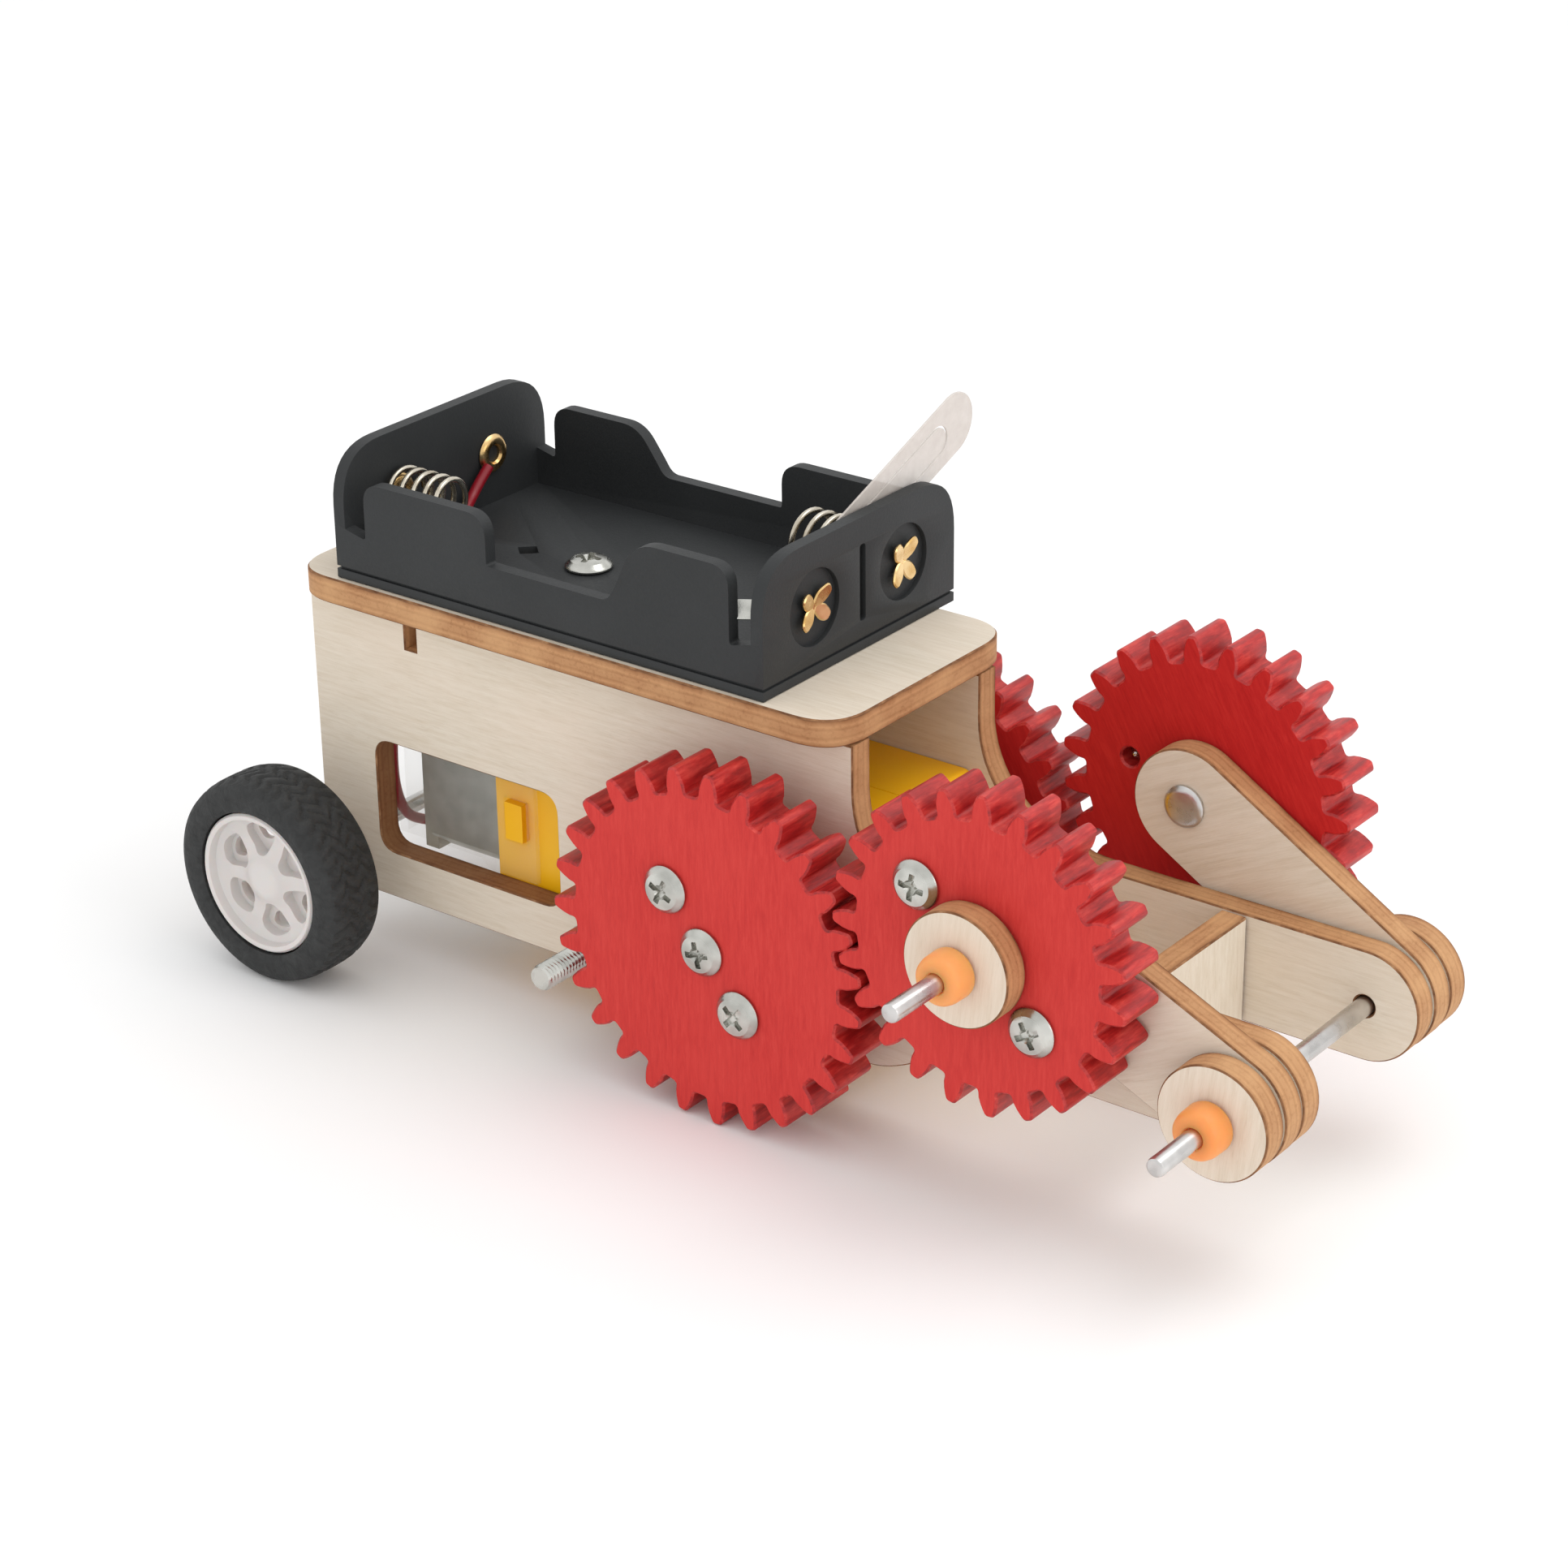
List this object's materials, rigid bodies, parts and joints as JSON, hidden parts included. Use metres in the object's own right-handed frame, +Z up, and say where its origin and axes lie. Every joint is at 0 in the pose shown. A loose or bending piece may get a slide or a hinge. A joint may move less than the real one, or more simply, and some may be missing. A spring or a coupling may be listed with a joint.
{
  "type": "two wheel robot car",
  "caption": "Toy robot car with a plywood body, a geared motor, red spur gears on swing links, battery holder and rear wheels.",
  "frame": {"origin": "on the ground, under the middle of the car's box", "axes": "+X towards the front of the car, the end with the two arms and the long axle; +Y to the car's left; +Z up"},
  "size_m": [0.1345, 0.072, 0.0672],
  "materials": {
    "plywood": "pale birch plywood, satin faces, laser-browned edges",
    "red_wood": "painted red plywood, matt",
    "yellow_plastic": "moulded, satin gloss",
    "white_plastic": "moulded, slightly translucent",
    "black_plastic": "fine matt grain",
    "tyre": "matt moulded rubber",
    "orange_rubber": "translucent silicone",
    "clear_plastic": "clear flexible film",
    "plated_steel": "bright zinc plate",
    "brass": "satin",
    "red_wire": "satin insulation",
    "black_wire": "satin insulation"
  },
  "bodies": {
    "body": {"side_panel_right": "plywood", "side_panel_left": "plywood", "top_panel": "plywood", "front_cross_brace": "plywood", "gearbox_shell_right": "yellow_plastic", "gearbox_shell_left": "yellow_plastic", "motor_can": "plated_steel", "motor_strap": "clear_plastic", "motor_bolt": "plated_steel", "motor_bolt_nut": "plated_steel", "battery_holder": "black_plastic", "contact_spring_rear": "plated_steel", "contact_spring_front": "plated_steel", "flat_contact": "plated_steel", "rivet_front_right": "brass", "rivet_front_left": "brass", "rivet_rear_right": "brass", "rivet_rear_left": "brass", "holder_screw": "plated_steel", "red_lead": "red_wire", "black_lead": "black_wire"},
    "motor_rotor": {"motor_pinion": "plated_steel"},
    "crown": {"crown_gear": "white_plastic"},
    "idler": {"idler_gear": "white_plastic"},
    "drive": {"output_shaft": "white_plastic", "drive_hub_right": "plywood", "drive_hub_left": "plywood", "drive_gear_right": "red_wood", "drive_gear_left": "red_wood", "drive_screw_rear_right": "plated_steel", "drive_screw_middle_right": "plated_steel", "drive_screw_front_right": "plated_steel", "drive_screw_rear_left": "plated_steel", "drive_screw_middle_left": "plated_steel", "drive_screw_front_left": "plated_steel"},
    "link_right": {"swing_link_right": "plywood", "link_pin_right": "plated_steel", "pin_spacer_right": "plywood", "pin_stopper_right": "orange_rubber"},
    "link_left": {"swing_link_left": "plywood", "link_pin_left": "plated_steel", "pin_spacer_left": "plywood", "pin_stopper_left": "orange_rubber"},
    "front_wheel_right": {"front_gear_right": "red_wood", "front_screw_rear_right": "plated_steel", "front_screw_front_right": "plated_steel"},
    "front_wheel_left": {"front_gear_left": "red_wood", "front_screw_rear_left": "plated_steel", "front_screw_front_left": "plated_steel"},
    "front_axle": {"front_axle": "plated_steel", "front_spacer_right": "plywood", "front_spacer_left": "plywood", "front_stopper_right": "orange_rubber", "front_stopper_left": "orange_rubber"},
    "rear_wheels": {"rear_axle": "plated_steel", "rear_rim_right": "white_plastic", "rear_rim_left": "white_plastic", "rear_tyre_right": "tyre", "rear_tyre_left": "tyre"},
    "tab": {"battery_tab": "clear_plastic"}
  },
  "joints": [
    {"name": "drive_spin", "type": "hinge", "parent": "body", "child": "drive", "pos_m": [0.0028, 0, 0.0197], "axis": [0, 1, 0], "continuous": true},
    {"name": "idler_spin", "type": "hinge", "parent": "body", "child": "idler", "pos_m": [-0.00685, 0, 0.02234], "axis": [0, 1, 0], "continuous": true},
    {"name": "crown_spin", "type": "hinge", "parent": "body", "child": "crown", "pos_m": [-0.0144, 0, 0.0197], "axis": [0, 1, 0], "continuous": true},
    {"name": "motor_spin", "type": "hinge", "parent": "body", "child": "motor_rotor", "pos_m": [-0.026, 0, 0.0197], "axis": [1, 0, 0], "continuous": true},
    {"name": "link_lift_right", "type": "hinge", "parent": "body", "child": "link_right", "pos_m": [0.0606, 0, 0.018], "axis": [0, 1, 0], "range_deg": [0, 135]},
    {"name": "link_lift_left", "type": "hinge", "parent": "body", "child": "link_left", "pos_m": [0.0606, 0, 0.018], "axis": [0, 1, 0], "range_deg": [-7, 128]},
    {"name": "front_spin_right", "type": "hinge", "parent": "link_right", "child": "front_wheel_right", "pos_m": [0.03588, 0, 0.02915], "axis": [0, 1, 0], "continuous": true},
    {"name": "front_spin_left", "type": "hinge", "parent": "link_left", "child": "front_wheel_left", "pos_m": [0.03742, 0, 0.03208], "axis": [0, 1, 0], "continuous": true},
    {"name": "front_axle_spin", "type": "hinge", "parent": "body", "child": "front_axle", "pos_m": [0.0606, 0, 0.018], "axis": [0, 1, 0], "continuous": true},
    {"name": "rear_axle_spin", "type": "hinge", "parent": "body", "child": "rear_wheels", "pos_m": [-0.0559, 0, 0.0119], "axis": [0, 1, 0], "continuous": true},
    {"name": "tab_slide", "type": "slide", "parent": "body", "child": "tab", "axis": [0.0273, 0.9205, 0.3898], "range_m": [0, 0.02]}
  ],
  "couplings": [
    {"joint": "idler_spin", "follows": "drive_spin", "ratio": -4},
    {"joint": "crown_spin", "follows": "drive_spin", "ratio": 12},
    {"joint": "motor_spin", "follows": "drive_spin", "ratio": -48},
    {"joint": "front_spin_right", "follows": "drive_spin", "ratio": -1.1739},
    {"joint": "front_spin_left", "follows": "drive_spin", "ratio": -1.1739}
  ]
}
